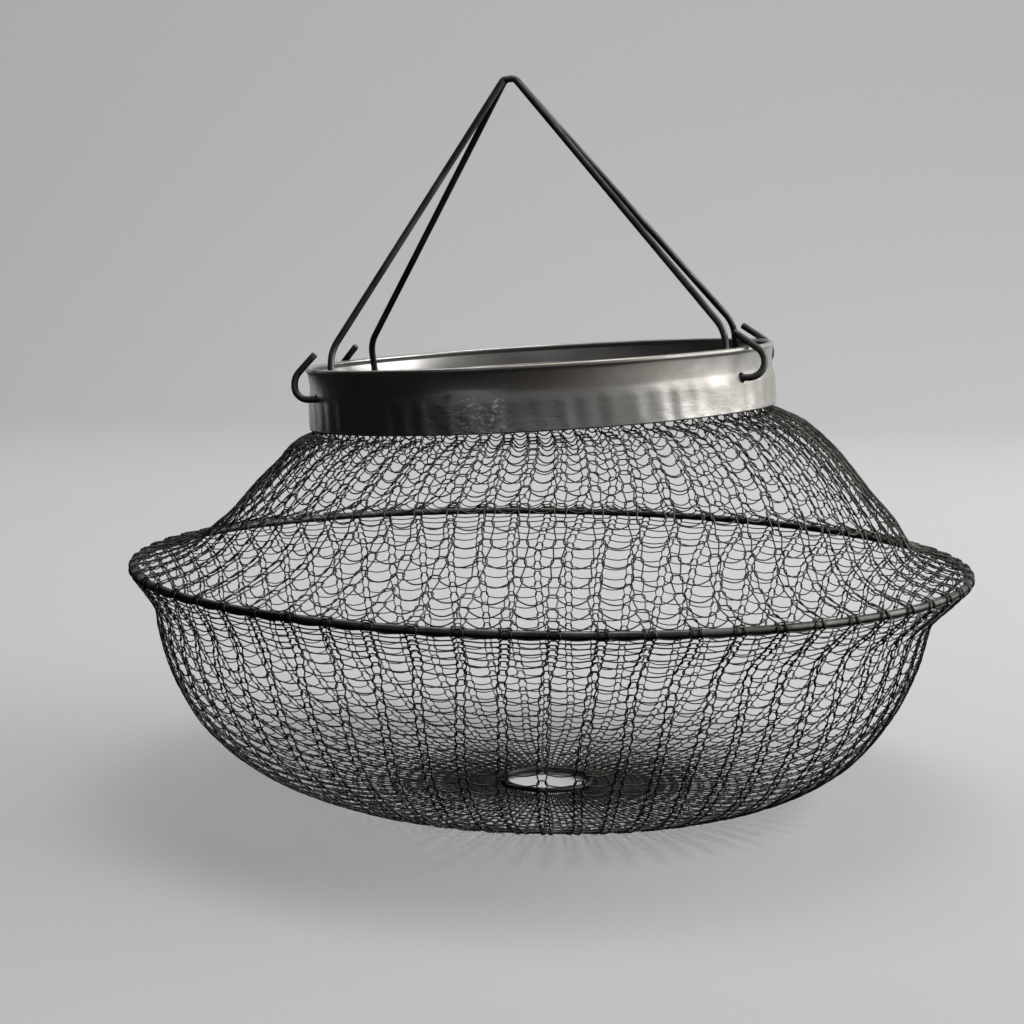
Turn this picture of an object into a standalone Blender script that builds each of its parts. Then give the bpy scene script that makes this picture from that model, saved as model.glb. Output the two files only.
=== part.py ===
"""Onion basket: a knitted wire net hung from a sheet-metal collar and spread by a wire hoop.

Two triangular wire handles swing in holes of the collar. Metres, +Z up. The origin is the middle
of the base, on the surface that the basket stands on. The front is -Y, and the handles' hinge
axes run along X. The collar leans to -X, as it does on a filled basket.
"""

import math

import bmesh
import bpy
from mathutils import Matrix, Vector

CLEARANCE = 0.0003  # between pieces that touch

# Hoop: a round wire ring inside the net's widest course
HOOP_RADIUS = 0.149  # to the middle of the wire
HOOP_WIRE = 0.0028
HOOP_HEIGHT = 0.083  # middle of the wire above the floor
HOOP_SEGMENTS = 60
HOOP_SIDES = 8

# Collar band: thin sheet with a rolled rim, a waist and a wider lower zone over the net's edge
COLLAR_RADIUS = 0.0828  # outside of the waist
COLLAR_HEIGHT = 0.0218
COLLAR_WALL = 0.0007
COLLAR_RISE = 0.0536  # lower edge above the hoop
COLLAR_SHIFT = 0.0036  # lower edge's middle towards -X from the hoop's axis
COLLAR_LEAN = math.radians(4.1)
COLLAR_SEGMENTS = 60
RIM_FLARE = 0.001  # rolled edge beyond the waist
RIM_ROLL = 0.001  # radius of the rolled edge
RIM_ROLL_START = math.radians(180)
RIM_ROLL_SWEEP = math.radians(250)
RIM_ROLL_STEPS = 6
WAIST_DROP = 0.0082  # narrowest place below the rim
FLARE_SHARES = (0.4, 1)  # where the flare from the rim down to the waist has its corners
SWELL = 0.0005  # step over the net's edge
SWELL_TAPER = 0.0022  # height of that step
SWELL_TAPER_SHARES = (0.5, 1)  # where the step has its corners
SKIRT = 0.0004  # further widening down to the lower edge

# Clamp band: inner sheet ring that traps the net's top courses
CLAMP_WALL = 0.0006
CLAMP_HEIGHT = 0.0152
CLAMP_SEAT = 0.0011  # height of the top lip that seats under the collar band's waist
CLAMP_LIP_TAPER = 0.0018

# Net: wales run up and courses run round, sagging from wale to wale as the knitted loops do.
# Each gap stands for several loops of the real net.
NET_WIRE = 0.0011
NET_WALES = 20
NET_GRIP = 0.009  # how far the net reaches up between the two bands
NET_TUCK = 0.0016  # how far it hangs straight below the collar before it spreads
NET_SAG_SHARE = 0.22  # how far a free course sags between two wales, of the way to the next
SHOULDER_SHARES = ((0.25, 0.75, 0.3), (0.455, 0.415, 1), (0.665, 0.11, 0.4))
SHOULDER_BULGE = 0.005  # how far the filled net bulges to +X there
NET_HITCH = 0.0042  # height of the courses just above and below the hoop
NET_HITCH_INSET = 0.0012  # how far inside the hoop's middle they lie
BOWL_DEPTH_SHARES = (0.18, 0.37, 0.55, 0.72, 0.86, 0.96)
BOWL_PINCH_SHARE = 0.06  # how far the net draws in under the hoop
BOWL_PINCH_DEPTH_SHARE = 0.2
BOWL_DEPTH_POWER = 2.2
BOWL_WIDTH_POWER = 0.33
BASE_RADIUS = 0.043  # flat part that the basket stands on
BASE_CUT = 0.0005  # depth by which the wires are flattened there
BASE_CURL = 0.0034  # how high the last course curls up inside the base ring

# Base ring: gathers the last course
BASE_RING_RADIUS = 0.016
BASE_RING_WIRE = 0.002
BASE_RING_SEGMENTS = 32
BASE_RING_SIDES = 6

# Handles: one bent wire each, hooked out through two holes of the collar
HANDLE_WIRE = 0.0024
HANDLE_HOLE = 0.0034
HANDLE_HOLE_SIDES = 16
HANDLE_REACH = 0.1141  # hinge axis to the wire's middle at the apex
HINGE_DROP = 0.0103  # hinge axis below the rim
HINGE_OFFSET = 0.0378  # hinge axis from the collar's middle plane
LEG_INSET = 0.0055  # leg's middle inside the hole's mouth
LEG_STRAIGHT = 0.017  # corner where the leg turns towards the apex
LEG_FOOT_BEND = 0.0026
LEG_KNEE_BEND = 0.014
APEX_SHIFT = 0.005  # the bend at the apex lies to -X of the middle
APEX_BEND = 0.0032
HOOK_REACH = 0.0075  # hook's outermost run from the hole's mouth
HOOK_BEND = 0.0052
HOOK_SHOULDER = 0.0084  # height where the hook turns back over the rim
HOOK_SHOULDER_BEND = 0.006
HOOK_TIP_RISE = 0.0161
LEFT_TIP_RETURN = 0.007  # how far each tip leans back from the hook's outermost run
RIGHT_TIP_RETURN = 0.0098
BEND_STEPS = 5
WIRE_BEVEL_RESOLUTION = 2

CUTTER_OVERRUN = 0.01
TURN_SEAM = 0.00001  # closes a turned ring where it meets its start

FINISHES = {  # colour and roughness
    "sheet_metal": ((0.46, 0.45, 0.43), 0.38),
    "clamp_metal": ((0.40, 0.39, 0.37), 0.45),
    "net_wire": ((0.045, 0.042, 0.038), 0.5),
    "hoop_wire": ((0.055, 0.054, 0.052), 0.42),
    "handle_wire": ((0.06, 0.062, 0.06), 0.4),
}


def clear_scene():
    for obj in list(bpy.data.objects):
        bpy.data.objects.remove(obj)


def new_collection(name):
    collection = bpy.data.collections.new(name)
    bpy.context.scene.collection.children.link(collection)
    return collection


def metal(name):
    colour, roughness = FINISHES[name]
    material = bpy.data.materials.new(name)
    material.use_nodes = True
    shader = material.node_tree.nodes["Principled BSDF"]
    shader.inputs["Base Color"].default_value = (*colour, 1)
    shader.inputs["Metallic"].default_value = 1
    shader.inputs["Roughness"].default_value = roughness
    return material


def add_object(name, data, collection, material=None, parent=None):
    obj = bpy.data.objects.new(name, data)
    collection.objects.link(obj)
    if material:
        data.materials.append(material)
    obj.parent = parent
    return obj


def ease(share):
    """0 to 1 with a level start and end."""
    share = min(max(share, 0), 1)
    return share * share * (3 - 2 * share)


def turned(name, outline, collection, material, parent):
    """A ring turned from a closed outline of (radius, height) that runs down its outer side."""
    mesh = bpy.data.meshes.new(name)
    edges = [(i, (i + 1) % len(outline)) for i in range(len(outline))]
    mesh.from_pydata([(radius, 0, height) for radius, height in outline], edges, [])
    obj = add_object(name, mesh, collection, material, parent)
    screw = obj.modifiers.new("Turn", "SCREW")
    screw.axis = "Z"
    screw.steps = COLLAR_SEGMENTS
    screw.render_steps = COLLAR_SEGMENTS
    screw.use_merge_vertices = True
    screw.merge_threshold = TURN_SEAM
    screw.use_smooth_shade = True
    return obj


def torus(name, radius, wire, segments, sides, height, collection, material):
    bpy.ops.mesh.primitive_torus_add(
        major_radius=radius,
        minor_radius=wire / 2,
        major_segments=segments,
        minor_segments=sides,
        location=(0, 0, height),
    )
    obj = bpy.context.object
    obj.name = name
    obj.data.name = name
    for owner in list(obj.users_collection):
        owner.objects.unlink(obj)
    collection.objects.link(obj)
    obj.data.materials.append(material)
    obj.data.shade_smooth()
    return obj


# Collar

def band_radius(height):
    """Outside of the collar band: flared at the rim, narrow at the waist, wider over the net."""
    waist = COLLAR_HEIGHT - WAIST_DROP
    if height >= waist:
        return COLLAR_RADIUS + RIM_FLARE * ((height - waist) / WAIST_DROP) ** 2
    step = SWELL * ease((waist - height) / SWELL_TAPER)
    return COLLAR_RADIUS + step + SKIRT * (waist - height) / waist


def net_ring_radius():
    """Middle of the net's wire where the two bands hold it, set by the narrow top of its grip."""
    return band_radius(NET_GRIP) - COLLAR_WALL - CLEARANCE - NET_WIRE / 2


def collar_outline():
    roll_radius = COLLAR_RADIUS + RIM_FLARE - RIM_ROLL
    roll_height = COLLAR_HEIGHT - RIM_ROLL
    outline = []
    for step in range(RIM_ROLL_STEPS + 1):
        angle = RIM_ROLL_START - RIM_ROLL_SWEEP * step / RIM_ROLL_STEPS
        outline.append(
            (roll_radius + RIM_ROLL * math.cos(angle), roll_height + RIM_ROLL * math.sin(angle))
        )
    waist = COLLAR_HEIGHT - WAIST_DROP
    under_roll = COLLAR_HEIGHT - 2 * RIM_ROLL
    heights = [under_roll + (waist - under_roll) * share for share in FLARE_SHARES]
    heights += [waist - SWELL_TAPER * share for share in SWELL_TAPER_SHARES]
    heights += [0]
    outline += [(band_radius(height), height) for height in heights]
    outline += [(band_radius(height) - COLLAR_WALL, height) for height in reversed(heights)]
    return outline


def clamp_outline():
    """The clamp band's lip seats under the waist, and its wall backs the net below the holes."""
    chord = net_ring_radius() * math.cos(math.pi / (2 * NET_WALES))
    body = chord - NET_WIRE / 2 - CLEARANCE
    lip = COLLAR_RADIUS - COLLAR_WALL - CLEARANCE
    lip_foot = CLAMP_HEIGHT - CLAMP_SEAT
    taper_foot = lip_foot - CLAMP_LIP_TAPER
    outer = [(lip, CLAMP_HEIGHT), (lip, lip_foot), (body, taper_foot), (body, 0)]
    inner = [(radius - CLAMP_WALL, height) for radius, height in reversed(outer)]
    return outer + inner


def hinge_height():
    return COLLAR_HEIGHT - HINGE_DROP


def hole_mouth():
    """Distance from the collar's middle to the outside of a handle hole, along the hinge axis."""
    radius = band_radius(hinge_height())
    return math.sqrt(radius**2 - HINGE_OFFSET**2)


def handle_holes(cutters, frame):
    """One rod along each hinge axis, long enough to pass both walls at both ends."""
    rods = []
    for side, name in ((-1, "front_hinge_drill"), (1, "back_hinge_drill")):
        mesh = bpy.data.meshes.new(name)
        work = bmesh.new()
        bmesh.ops.create_cone(
            work,
            cap_ends=True,
            segments=HANDLE_HOLE_SIDES,
            radius1=HANDLE_HOLE / 2,
            radius2=HANDLE_HOLE / 2,
            depth=2 * (hole_mouth() + CUTTER_OVERRUN),
            matrix=Matrix.Rotation(math.pi / 2, 4, "Y"),
        )
        work.to_mesh(mesh)
        work.free()
        rod = add_object(name, mesh, cutters, parent=frame)
        rod.location = (0, side * HINGE_OFFSET, hinge_height())
        rod.hide_render = True
        rod.display_type = "WIRE"
        rods.append(rod)
    return rods


def cut(obj, cutter):
    boolean = obj.modifiers.new(cutter.name, "BOOLEAN")
    boolean.operation = "DIFFERENCE"
    boolean.solver = "EXACT"
    boolean.object = cutter


def make_collar(parts, cutters, frame):
    band = turned("collar_band", collar_outline(), parts, metal("sheet_metal"), frame)
    clamp = turned("clamp_band", clamp_outline(), parts, metal("clamp_metal"), frame)
    for rod in handle_holes(cutters, frame):
        cut(band, rod)
        cut(clamp, rod)


# Net

def level(radius, height):
    """A level round course about the basket's axis, as a function of the angle."""
    return lambda angle: Vector((radius * math.cos(angle), radius * math.sin(angle), height))


def collar_courses(collar):
    """The two courses that the bands hold: the gripped edge, and where the net leaves them."""
    grip = net_ring_radius()
    return [
        lambda angle, course=level(grip, height): collar @ course(angle)
        for height in (NET_GRIP, -NET_TUCK)
    ]


def shoulder_courses(upper, lower):
    """Courses from the leaning collar to the level hoop: full at the top, nearly flat at the hoop.

    Each of the shares says how far out a course lies, how high, and how much it has of the bulge.
    """
    def between(shares, angle):
        reach, height, bulge = shares
        top, foot = upper(angle), lower(angle)
        point = top.lerp(foot, reach)
        point.x += SHOULDER_BULGE * bulge
        point.z = foot.z + (top.z - foot.z) * height
        return point

    return [lambda angle, shares=shares: between(shares, angle) for shares in SHOULDER_SHARES]


def bowl_courses():
    """Courses below the hoop: drawn in just under it, then round like a bowl."""
    seat = NET_WIRE / 2 - BASE_CUT
    courses = []
    for depth in BOWL_DEPTH_SHARES:
        pinch = 1 - BOWL_PINCH_SHARE * ease(depth / BOWL_PINCH_DEPTH_SHARE)
        width = (1 - depth**BOWL_DEPTH_POWER) ** BOWL_WIDTH_POWER
        courses.append(level(HOOP_RADIUS * pinch * width, seat + (HOOP_HEIGHT - seat) * (1 - depth)))
    return courses


def net_crease():
    """How far the widest course lies beyond the hoop's middle, so that its slopes clear the hoop."""
    seat = HOOP_WIRE / 2 + CLEARANCE + NET_WIRE / 2
    hitch = Vector((-NET_HITCH_INSET, NET_HITCH))
    slope = math.atan2(hitch.y, hitch.x) - math.acos(seat / hitch.length)
    return seat / math.cos(slope)


def hoop_courses():
    """The widest course round the hoop, between the two courses that hitch it from above and below."""
    hitch = HOOP_RADIUS - NET_HITCH_INSET
    return [
        level(hitch, HOOP_HEIGHT + NET_HITCH),
        level(HOOP_RADIUS + net_crease(), HOOP_HEIGHT),
        level(hitch, HOOP_HEIGHT - NET_HITCH),
    ]


def base_courses():
    """The flat that the basket stands on, drawn in to the base ring and curled up inside it."""
    seat = NET_WIRE / 2 - BASE_CUT
    curl = BASE_RING_RADIUS - BASE_RING_WIRE / 2 - CLEARANCE - NET_WIRE / 2
    return [level(BASE_RADIUS, seat), level(curl, seat), level(curl, BASE_CURL)]


def net_courses(collar):
    """(course, sag share) from the collar to the curl in the base ring. Held courses don't sag."""
    top = collar_courses(collar)
    hoop = hoop_courses()
    zones = (
        (top, 0),
        (shoulder_courses(top[-1], hoop[0]), NET_SAG_SHARE),
        (hoop, 0),
        (bowl_courses(), NET_SAG_SHARE),
        (base_courses(), 0),
    )
    return [(course, sag) for courses, sag in zones for course in courses]


def net_rings(courses):
    """Points round each course, two for each wale: on it, and where the wire sags beside it."""
    halves = 2 * NET_WALES
    rings = []
    for (course, sag), (following, _) in zip(courses, courses[1:] + courses[-1:]):
        angles = [math.tau * half / halves for half in range(halves)]
        rings.append(
            [course(a).lerp(following(a), sag * (half % 2)) for half, a in enumerate(angles)]
        )
    return rings


def net_mesh(rings):
    """Four-sided wires round six-sided gaps: an edge outside, one inside, and one in each gap."""
    work = bmesh.new()
    halves = 2 * NET_WALES
    thick = NET_WIRE / 2
    skins = {}
    for row, ring in enumerate(rings):
        above = rings[max(row - 1, 0)]
        below = rings[min(row + 1, len(rings) - 1)]
        for half, point in enumerate(ring):
            along = ring[(half + 1) % halves] - ring[half - 1]
            outward = (below[half] - above[half]).cross(along).normalized() * thick
            skins[row, half] = [work.verts.new(point + outward), work.verts.new(point - outward)]

    def wires(loop, gap):
        for k, a in enumerate(loop):
            b = loop[(k + 1) % len(loop)]
            for skin in (0, 1):
                work.faces.new((skins[a][skin], skins[b][skin], gap[b], gap[a]))

    def inset(row, half, other_row, sideways):
        point = rings[row][half]
        step = (rings[other_row][half] - point).normalized() * thick
        if sideways:
            step += (rings[row][(half + sideways) % halves] - point).normalized() * thick
        return point + step

    for row in range(len(rings) - 1):
        for wale in range(0, halves, 2):
            sides = ((wale, 1), (wale + 1, 0), ((wale + 2) % halves, -1))
            upper = [((row, half), inset(row, half, row + 1, side)) for half, side in sides]
            lower = [((row + 1, half), inset(row + 1, half, row, side)) for half, side in sides]
            loop = upper + lower[::-1]
            wires([corner for corner, _ in loop], {c: work.verts.new(place) for c, place in loop})
    for row, other_row in ((0, 1), (len(rings) - 1, len(rings) - 2)):
        loop = [(row, half) for half in range(halves)]
        hem = {
            (row, half): work.verts.new(2 * rings[row][half] - inset(row, half, other_row, 0))
            for half in range(halves)
        }
        wires(loop, hem)
    bmesh.ops.recalc_face_normals(work, faces=work.faces)
    mesh = bpy.data.meshes.new("knitted_net")
    work.to_mesh(mesh)
    work.free()
    return mesh


def floor_block(cutters):
    """Everything below the floor, so that the base wires stand on flats."""
    mesh = bpy.data.meshes.new("floor_block")
    work = bmesh.new()
    bmesh.ops.create_cube(work, size=1)
    size = 2 * (HOOP_RADIUS + CUTTER_OVERRUN)
    bmesh.ops.scale(work, vec=(size, size, CUTTER_OVERRUN), verts=work.verts)
    work.to_mesh(mesh)
    work.free()
    block = add_object("floor_block", mesh, cutters)
    block.location = (0, 0, -CUTTER_OVERRUN / 2)
    block.hide_render = True
    block.display_type = "WIRE"
    return block


def make_net(parts, cutters, collar):
    mesh = net_mesh(net_rings(net_courses(collar)))
    net = add_object("knitted_net", mesh, parts, metal("net_wire"))
    cut(net, floor_block(cutters))


# Handles

def rounded(corners):
    """Points along straight runs through (x, z, bend radius) corners, with each bend an arc."""
    points = [Vector(corners[0][:2])]
    for before, here, after in zip(corners, corners[1:], corners[2:]):
        corner = Vector(here[:2])
        back = (Vector(before[:2]) - corner).normalized()
        ahead = (Vector(after[:2]) - corner).normalized()
        half = back.angle(ahead) / 2
        reach = here[2] / math.tan(half)
        centre = corner + (back + ahead).normalized() * here[2] / math.sin(half)
        start = corner + back * reach - centre
        end = corner + ahead * reach - centre
        turn = start.angle_signed(end)
        for step in range(BEND_STEPS + 1):
            points.append(centre + Matrix.Rotation(-turn * step / BEND_STEPS, 2) @ start)
    points.append(Vector(corners[-1][:2]))
    return points


def handle_path():
    """Middle of one handle's wire in its own plane: x along the hinge axis, z towards the apex."""
    mouth = hole_mouth()
    leg = mouth - LEG_INSET
    hook = mouth + HOOK_REACH

    def end(side, tip_return):
        return [
            (side * (hook - tip_return), HOOK_TIP_RISE, 0),
            (side * hook, HOOK_SHOULDER, HOOK_SHOULDER_BEND),
            (side * hook, 0, HOOK_BEND),
            (side * leg, 0, LEG_FOOT_BEND),
            (side * leg, LEG_STRAIGHT, LEG_KNEE_BEND),
        ]

    right_slope = math.atan2(leg + APEX_SHIFT, HANDLE_REACH - LEG_STRAIGHT)
    left_slope = math.atan2(leg - APEX_SHIFT, HANDLE_REACH - LEG_STRAIGHT)
    half = (right_slope + left_slope) / 2
    tilt = (right_slope - left_slope) / 2
    apex = HANDLE_REACH + APEX_BEND * (math.cos(tilt) / math.sin(half) - 1)
    corners = end(1, RIGHT_TIP_RETURN) + [(-APEX_SHIFT, apex, APEX_BEND)]
    return rounded(corners + end(-1, LEFT_TIP_RETURN)[::-1])


def make_handle(name, side, parts, frame, material):
    """side is -1 for the front handle and 1 for the back one. They rest on each other's apex."""
    curve = bpy.data.curves.new(name, "CURVE")
    curve.dimensions = "3D"
    curve.bevel_depth = HANDLE_WIRE / 2
    curve.bevel_resolution = WIRE_BEVEL_RESOLUTION
    curve.use_fill_caps = True
    path = handle_path()
    spline = curve.splines.new("POLY")
    spline.points.add(len(path) - 1)
    for point, place in zip(spline.points, path):
        point.co = (place.x, 0, place.y, 1)
    handle = add_object(name, curve, parts, material, frame)
    apex_gap = HANDLE_WIRE / 2 + CLEARANCE / 2
    lean = math.asin((HINGE_OFFSET - apex_gap) / HANDLE_REACH)
    handle.location = (0, side * HINGE_OFFSET, hinge_height())
    handle.rotation_euler = (side * lean, 0, 0)


def main():
    clear_scene()
    parts = new_collection("onion_basket")
    cutters = new_collection("cutters")
    frame = add_object("collar_frame", None, parts)
    frame.location = (-COLLAR_SHIFT, 0, HOOP_HEIGHT + COLLAR_RISE)
    frame.rotation_euler = (0, -COLLAR_LEAN, 0)
    bpy.context.view_layer.update()

    make_collar(parts, cutters, frame)
    make_net(parts, cutters, frame.matrix_world.copy())
    wire = metal("hoop_wire")
    torus("hoop", HOOP_RADIUS, HOOP_WIRE, HOOP_SEGMENTS, HOOP_SIDES, HOOP_HEIGHT, parts, wire)
    ring_height = NET_WIRE - BASE_CUT + CLEARANCE + BASE_RING_WIRE / 2
    torus(
        "base_ring",
        BASE_RING_RADIUS,
        BASE_RING_WIRE,
        BASE_RING_SEGMENTS,
        BASE_RING_SIDES,
        ring_height,
        parts,
        wire,
    )
    handle_metal = metal("handle_wire")
    make_handle("front_handle", -1, parts, frame, handle_metal)
    make_handle("back_handle", 1, parts, frame, handle_metal)


main()
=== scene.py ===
"""Looks of the onion basket: a knitted wire net on a sheet-metal collar and a wire hoop.

Metres, +Z up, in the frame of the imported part. The front is -Y. The collar leans to -X, and its
own frame has its origin in the middle of the collar's lower edge.
"""

import math

import bmesh
import bpy
from mathutils import Matrix, Vector


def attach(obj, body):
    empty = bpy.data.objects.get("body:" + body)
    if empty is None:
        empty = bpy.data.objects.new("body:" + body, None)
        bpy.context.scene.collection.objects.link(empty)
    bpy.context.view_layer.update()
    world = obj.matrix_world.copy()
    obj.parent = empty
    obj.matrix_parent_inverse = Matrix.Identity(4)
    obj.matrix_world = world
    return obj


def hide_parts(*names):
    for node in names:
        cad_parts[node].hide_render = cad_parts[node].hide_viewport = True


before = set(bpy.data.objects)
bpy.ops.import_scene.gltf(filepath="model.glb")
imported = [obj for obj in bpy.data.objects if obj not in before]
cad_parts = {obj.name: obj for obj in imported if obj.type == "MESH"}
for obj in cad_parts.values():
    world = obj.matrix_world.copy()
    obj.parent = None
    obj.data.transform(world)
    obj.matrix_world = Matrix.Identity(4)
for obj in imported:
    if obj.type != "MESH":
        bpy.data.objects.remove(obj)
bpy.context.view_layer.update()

CLEARANCE = 0.0003  # between pieces that touch

HOOP_RADIUS = 0.149  # to the middle of the wire
HOOP_WIRE = 0.0028
HOOP_HEIGHT = 0.083
HOOP_SEGMENTS = 264
HOOP_SIDES = 16

COLLAR_RADIUS = 0.0828  # outside of the waist
COLLAR_HEIGHT = 0.0218
COLLAR_WALL = 0.0007
COLLAR_RISE = 0.0536  # lower edge above the hoop
COLLAR_SHIFT = 0.0036
COLLAR_LEAN = math.radians(4.1)
RIM_FLARE = 0.001
RIM_ROLL = 0.001
RIM_ROLL_START = math.radians(180)
RIM_ROLL_SWEEP = math.radians(218)
RIM_ROLL_STEPS = 14
WAIST_DROP = 0.0082
SWELL = 0.0005
SWELL_TAPER = 0.0040
SKIRT = 0.0004
BAND_ROWS = 40
BAND_COLUMNS = 528  # eight to a wale
LAP_SEAM = (-0.0179, -0.0003)  # the lap of the collar's sheet at the front, along X in its frame

CLAMP_WALL = 0.0006
CLAMP_HEIGHT = 0.0152
CLAMP_SEAT = 0.0011
CLAMP_LIP_TAPER = 0.0018
CLAMP_COLUMNS = 264
CLAMP_OUTSIDE = 0.0808  # outer radius of its plain part
CLAMP_EDGE = 0.0002
CLAMP_LIP_STEPS = 6
CLAMP_ROWS = 12
CLAMP_WOBBLE_SHARE = 0.5  # of the collar band's

BASE_RING_RADIUS = 0.016
BASE_RING_WIRE = 0.002
BASE_RING_HEIGHT = 0.0019
BASE_RING_SEGMENTS = 72
BASE_RING_SIDES = 12

HANDLE_WIRE = 0.0024
HANDLE_HOLE = 0.0034
HOLE_SEGMENTS = 40
DRILL_SPARE = 0.02
HANDLE_REACH = 0.1141  # hinge axis to the wire's middle at the apex
HINGE_DROP = 0.0103
HINGE_OFFSET = 0.0378
LEG_INSET = 0.0055
LEG_STRAIGHT = 0.017
LEG_FOOT_BEND = 0.0026
LEG_KNEE_BEND = 0.014
APEX_SHIFT = 0.005  # the bend at the apex lies to -X of the middle
APEX_BEND = 0.0032
FLAT_APEX_BEND = 0.0015  # the front handle's apex was bent over a narrow flat
FLAT_APEX_DROP = 0.0005
HOOK_REACH = 0.0075
HOOK_BEND = 0.0052
HOOK_SHOULDER = 0.0084
HOOK_SHOULDER_BEND = 0.006
HOOK_TIP_RISE = 0.0161
LEFT_TIP_RETURN = 0.007  # how far each tip leans back from the hook's outermost run
RIGHT_TIP_RETURN = 0.0098
BEND_STEPS = 14
RUN_STEP = 0.003  # longest straight piece of a handle's wire
HANDLE_SIDES = 14

# Knitted net
WALES = 66
KNIT_WIRE = 0.00048
KNIT_SIDES = 5
GRIP_RADIUS = 0.0819  # of the net between the two bands
NET_GRIP = 0.009
NET_TUCK = 0.0016
# The shoulder at even steps from the collar: share of the way out, share of the height left.
SIDE_SHARES = (
    (0, 1), (0.143, 0.911), (0.257, 0.76), (0.365, 0.599), (0.469, 0.434), (0.584, 0.283),
    (0.695, 0.128), (0.841, 0.046), (1, 0),
)
FRONT_SHARES = (
    (0, 1), (0.165, 0.972), (0.318, 0.895), (0.447, 0.762), (0.543, 0.579), (0.618, 0.384),
    (0.71, 0.197), (0.843, 0.07), (1, 0),
)
FRONT_TURN = math.radians(-90)  # where the shoulder is fullest
FRONT_START = 0.1  # cosine of the turn from there at which its fuller form begins
FRONT_GROWTH = 0.7
SHOULDER_BULGE = 0.0043  # how far it bulges to +X
BULGE_GROWTH = 0.3  # shares of the shoulder
BULGE_END = 0.9
BULGE_FADE = 0.35
WALE_TWIST = math.radians(-3)  # by which the wales turn below the collar
TWIST_LENGTH = 0.03
HOOP_WRAP_RADIUS = 0.0017  # middle of the knitted wire about the hoop's
HOOP_WRAP_START = math.radians(78)
HOOP_WRAP_END = math.radians(-38)
BOWL_START = 0.06  # shares of the bowl's depth
BOWL_SPAN = 0.9
BOWL_PINCH_SHARE = 0.06
BOWL_PINCH_DEPTH_SHARE = 0.2
BOWL_DEPTH_POWER = 2.0
BOWL_WIDTH_POWER = 0.22
BOWL_SHIFT = -0.0027  # how far the filled bowl hangs towards -X
BOWL_SHIFT_GROWTH = 0.25
BOWL_SHIFT_FADE = 0.4
BASE_SEAT = 0.00078  # middle of the flat part of the net above the floor

collar_frame = Matrix.Translation((-COLLAR_SHIFT, 0, HOOP_HEIGHT + COLLAR_RISE)) @ Matrix.Rotation(
    -COLLAR_LEAN, 4, "Y"
)


# Node graphs

class Value:
    """A socket that takes part in Python arithmetic. Each operation adds a Math node."""

    def __init__(self, graph, socket):
        self.graph = graph
        self.socket = socket

    def out(self, name):
        """Another output of the same node."""
        return Value(self.graph, self.socket.node.outputs[name])

    def __add__(self, other):
        return self.graph.maths("ADD", self, other)

    def __radd__(self, other):
        return self.graph.maths("ADD", other, self)

    def __sub__(self, other):
        return self.graph.maths("SUBTRACT", self, other)

    def __rsub__(self, other):
        return self.graph.maths("SUBTRACT", other, self)

    def __mul__(self, other):
        return self.graph.maths("MULTIPLY", self, other)

    def __rmul__(self, other):
        return self.graph.maths("MULTIPLY", other, self)

    def __truediv__(self, other):
        return self.graph.maths("DIVIDE", self, other)

    def __rtruediv__(self, other):
        return self.graph.maths("DIVIDE", other, self)

    def floor(self):
        return self.graph.maths("FLOOR", self)

    def size(self):
        return self.graph.maths("ABSOLUTE", self)

    def at_most(self, other):
        return self.graph.maths("MINIMUM", self, other)

    def at_least(self, other):
        return self.graph.maths("MAXIMUM", self, other)

    def between(self, low, high):
        """0 at low, 1 at high, and smooth between."""
        return self.graph.add(
            "ShaderNodeMapRange",
            {"interpolation_type": "SMOOTHSTEP"},
            {"Value": self, "From Min": low, "From Max": high},
        )

    def towards(self, other, share):
        return self + (other - self) * share


class Graph:
    """Adds nodes to one node tree."""

    def __init__(self, tree):
        self.tree = tree

    def add(self, kind, settings=None, sockets=None, output=0):
        """Adds a node of that kind, sets it up, feeds its sockets, and returns one output."""
        node = self.tree.nodes.new(kind)
        for name, setting in (settings or {}).items():
            if name == "curve":
                self.set_curve(node.mapping, setting)
            else:
                setattr(node, name, setting)
        for key, feed in (sockets or {}).items():
            socket = node.inputs[key]
            if isinstance(feed, Value):
                self.tree.links.new(feed.socket, socket)
            else:
                socket.default_value = feed
        return Value(self, node.outputs[output]) if node.outputs else node

    def feed(self, value, node, name):
        """Links a value to a socket of a node that is there already."""
        self.tree.links.new(value.socket, node.inputs[name])

    @staticmethod
    def set_curve(mapping, points):
        curve = mapping.curves[0]
        while len(curve.points) < len(points):
            curve.points.new(1, 1)
        for point, place in zip(curve.points, points):
            point.location = place
        mapping.update()

    def maths(self, operation, *values):
        return self.add("ShaderNodeMath", {"operation": operation}, dict(enumerate(values)))

    def vector(self, operation, a, b=None, scale=None):
        sockets = {0: a}
        if b is not None:
            sockets[1] = b
        if scale is not None:
            sockets["Scale"] = scale
        return self.add("ShaderNodeVectorMath", {"operation": operation}, sockets)

    def mix(self, share, a, b):
        """A colour between a and b."""
        colours = [c if isinstance(c, Value) else (*c, 1) for c in (a, b)]
        return self.add(
            "ShaderNodeMix", {"data_type": "RGBA"}, {0: share, 6: colours[0], 7: colours[1]}, 2
        )

    def apart(self, vector):
        parts = self.add("ShaderNodeSeparateXYZ", sockets={0: vector})
        return parts, parts.out("Y"), parts.out("Z")

    def together(self, x, y, z):
        return self.add("ShaderNodeCombineXYZ", sockets={0: x, 1: y, 2: z})


# Metals

def new_metal(name, roughness):
    """A metal with its graph, its shader and the place of a point on the object."""
    material = bpy.data.materials.new(name)
    material.use_nodes = True
    graph = Graph(material.node_tree)
    shader = material.node_tree.nodes["Principled BSDF"]
    shader.inputs["Metallic"].default_value = 1
    shader.inputs["Roughness"].default_value = roughness
    place = graph.add("ShaderNodeTexCoord", output="Object")
    return material, graph, shader, place


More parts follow.
